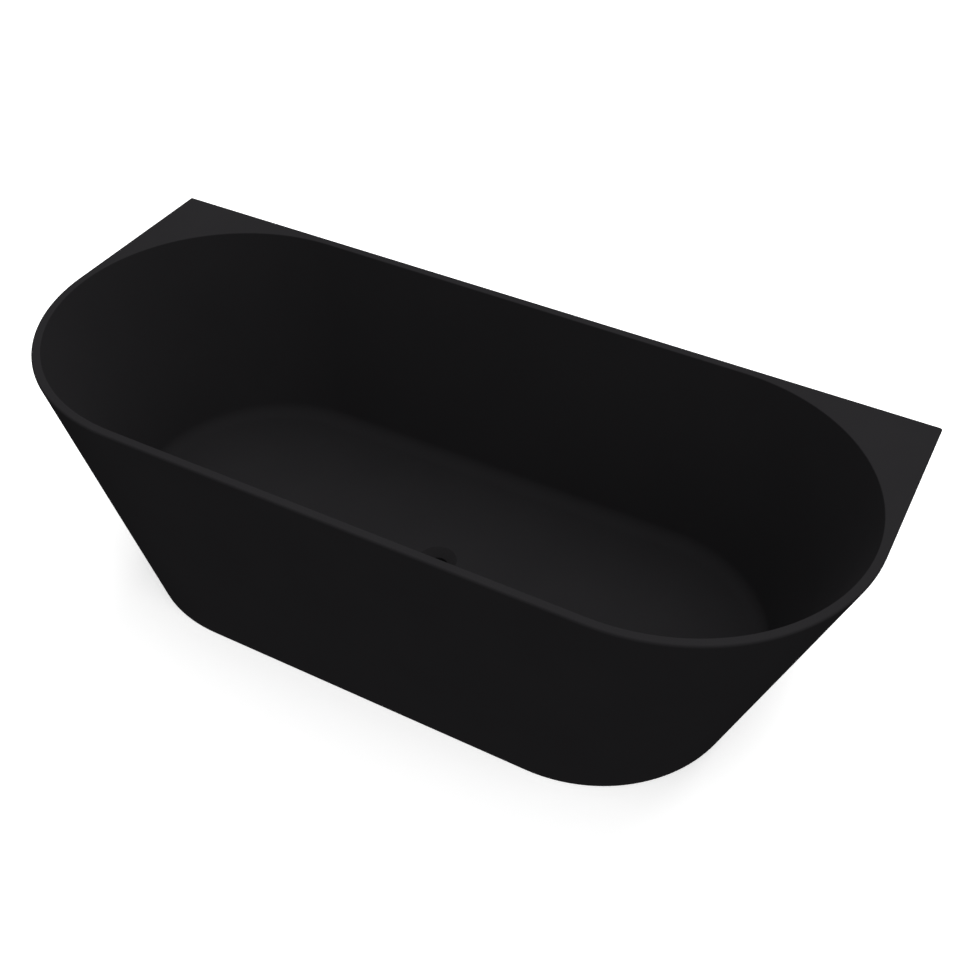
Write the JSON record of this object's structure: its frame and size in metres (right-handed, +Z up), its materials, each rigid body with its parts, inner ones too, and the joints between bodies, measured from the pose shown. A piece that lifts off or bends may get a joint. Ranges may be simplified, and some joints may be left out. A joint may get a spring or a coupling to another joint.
{
  "type": "freestanding bathtub",
  "caption": "Back-to-wall freestanding bathtub: tapered double-skinned tub on a steel frame with screw-adjusted levelling feet, and a recessed centre waste with a lifting plug.",
  "frame": {"origin": "on the floor plane, at the middle of the bath's length and width, straight below the drain", "axes": "+Z up, +X along the length (to the right seen from the front), +Y towards the flat back that goes to the wall"},
  "size_m": [1.8, 0.8, 0.57],
  "materials": {
    "tub_acrylic": "matte black moulded acrylic",
    "board": "sealed plywood",
    "frame_steel": "galvanised steel tube and strip",
    "zinc_fixing": "bright zinc plate",
    "foot_plastic": "moulded black nylon",
    "waste_black": "matte black coated brass",
    "seal_rubber": "moulded rubber",
    "nylon": "natural nylon",
    "spring_steel": "drawn stainless steel"
  },
  "bodies": {
    "root": {"base_board": "board", "bracket_screw_end_left": "zinc_fixing", "bracket_screw_end_right": "zinc_fixing", "bracket_screw_front_left": "zinc_fixing", "bracket_screw_front_right": "zinc_fixing", "bracket_screw_rear_left": "zinc_fixing", "bracket_screw_rear_right": "zinc_fixing", "frame_cross_left": "frame_steel", "frame_cross_middle_left": "frame_steel", "frame_cross_middle_right": "frame_steel", "frame_cross_right": "frame_steel", "frame_rail_front": "frame_steel", "frame_rail_rear": "frame_steel", "inner_shell": "tub_acrylic", "lock_nut_front_left": "zinc_fixing", "lock_nut_front_middle": "zinc_fixing", "lock_nut_front_right": "zinc_fixing", "lock_nut_rear_left": "zinc_fixing", "lock_nut_rear_middle": "zinc_fixing", "lock_nut_rear_right": "zinc_fixing", "outer_skirt": "tub_acrylic", "plug_cartridge": "nylon", "plug_spring": "spring_steel", "rail_bolt_front_1": "zinc_fixing", "rail_bolt_front_2": "zinc_fixing", "rail_bolt_front_3": "zinc_fixing", "rail_bolt_front_4": "zinc_fixing", "rail_bolt_rear_1": "zinc_fixing", "rail_bolt_rear_2": "zinc_fixing", "rail_bolt_rear_3": "zinc_fixing", "rail_bolt_rear_4": "zinc_fixing", "rear_deck_board_left": "board", "rear_deck_board_right": "board", "skirt_bracket_end_left": "frame_steel", "skirt_bracket_end_right": "frame_steel", "skirt_bracket_front_left": "frame_steel", "skirt_bracket_front_right": "frame_steel", "skirt_bracket_rear_left": "frame_steel", "skirt_bracket_rear_right": "frame_steel", "waste_back_nut": "waste_black", "waste_body": "waste_black", "waste_cross": "waste_black", "waste_flange_gasket": "seal_rubber", "waste_lower_seal": "seal_rubber", "waste_slip_washer": "nylon"},
    "foot_front_left": {"foot_pad_front_left": "foot_plastic"},
    "rod_front_left": {"foot_rod_front_left": "zinc_fixing"},
    "foot_front_middle": {"foot_pad_front_middle": "foot_plastic"},
    "rod_front_middle": {"foot_rod_front_middle": "zinc_fixing"},
    "foot_front_right": {"foot_pad_front_right": "foot_plastic"},
    "rod_front_right": {"foot_rod_front_right": "zinc_fixing"},
    "foot_rear_left": {"foot_pad_rear_left": "foot_plastic"},
    "rod_rear_left": {"foot_rod_rear_left": "zinc_fixing"},
    "foot_rear_middle": {"foot_pad_rear_middle": "foot_plastic"},
    "rod_rear_middle": {"foot_rod_rear_middle": "zinc_fixing"},
    "foot_rear_right": {"foot_pad_rear_right": "foot_plastic"},
    "rod_rear_right": {"foot_rod_rear_right": "zinc_fixing"},
    "plug": {"plug_head": "waste_black", "plug_seal_ring": "seal_rubber", "plug_stem": "spring_steel"}
  },
  "joints": [
    {"name": "foot_front_left_drop", "type": "slide", "parent": "root", "child": "foot_front_left", "axis": [0, 0, -1], "range_m": [0, 0.0245]},
    {"name": "foot_front_left_screw", "type": "hinge", "parent": "foot_front_left", "child": "rod_front_left", "pos_m": [-0.5, -0.15, 0.04], "axis": [0, 0, -1], "range_deg": [0, 5040]},
    {"name": "foot_front_middle_drop", "type": "slide", "parent": "root", "child": "foot_front_middle", "axis": [0, 0, -1], "range_m": [0, 0.0245]},
    {"name": "foot_front_middle_screw", "type": "hinge", "parent": "foot_front_middle", "child": "rod_front_middle", "pos_m": [0, -0.15, 0.04], "axis": [0, 0, -1], "range_deg": [0, 5040]},
    {"name": "foot_front_right_drop", "type": "slide", "parent": "root", "child": "foot_front_right", "axis": [0, 0, -1], "range_m": [0, 0.0245]},
    {"name": "foot_front_right_screw", "type": "hinge", "parent": "foot_front_right", "child": "rod_front_right", "pos_m": [0.5, -0.15, 0.04], "axis": [0, 0, -1], "range_deg": [0, 5040]},
    {"name": "foot_rear_left_drop", "type": "slide", "parent": "root", "child": "foot_rear_left", "axis": [0, 0, -1], "range_m": [0, 0.0245]},
    {"name": "foot_rear_left_screw", "type": "hinge", "parent": "foot_rear_left", "child": "rod_rear_left", "pos_m": [-0.5, 0.15, 0.04], "axis": [0, 0, -1], "range_deg": [0, 5040]},
    {"name": "foot_rear_middle_drop", "type": "slide", "parent": "root", "child": "foot_rear_middle", "axis": [0, 0, -1], "range_m": [0, 0.0245]},
    {"name": "foot_rear_middle_screw", "type": "hinge", "parent": "foot_rear_middle", "child": "rod_rear_middle", "pos_m": [0, 0.15, 0.04], "axis": [0, 0, -1], "range_deg": [0, 5040]},
    {"name": "foot_rear_right_drop", "type": "slide", "parent": "root", "child": "foot_rear_right", "axis": [0, 0, -1], "range_m": [0, 0.0245]},
    {"name": "foot_rear_right_screw", "type": "hinge", "parent": "foot_rear_right", "child": "rod_rear_right", "pos_m": [0.5, 0.15, 0.04], "axis": [0, 0, -1], "range_deg": [0, 5040]},
    {"name": "plug_lift", "type": "slide", "parent": "root", "child": "plug", "axis": [0, 0, 1], "range_m": [0, 0.01], "deforming": ["plug_spring"]}
  ],
  "couplings": [
    {"joint": "foot_front_left_screw", "follows": "foot_front_left_drop", "rad_per_m": 3590.4},
    {"joint": "foot_front_middle_screw", "follows": "foot_front_middle_drop", "rad_per_m": 3590.4},
    {"joint": "foot_front_right_screw", "follows": "foot_front_right_drop", "rad_per_m": 3590.4},
    {"joint": "foot_rear_left_screw", "follows": "foot_rear_left_drop", "rad_per_m": 3590.4},
    {"joint": "foot_rear_middle_screw", "follows": "foot_rear_middle_drop", "rad_per_m": 3590.4},
    {"joint": "foot_rear_right_screw", "follows": "foot_rear_right_drop", "rad_per_m": 3590.4}
  ]
}
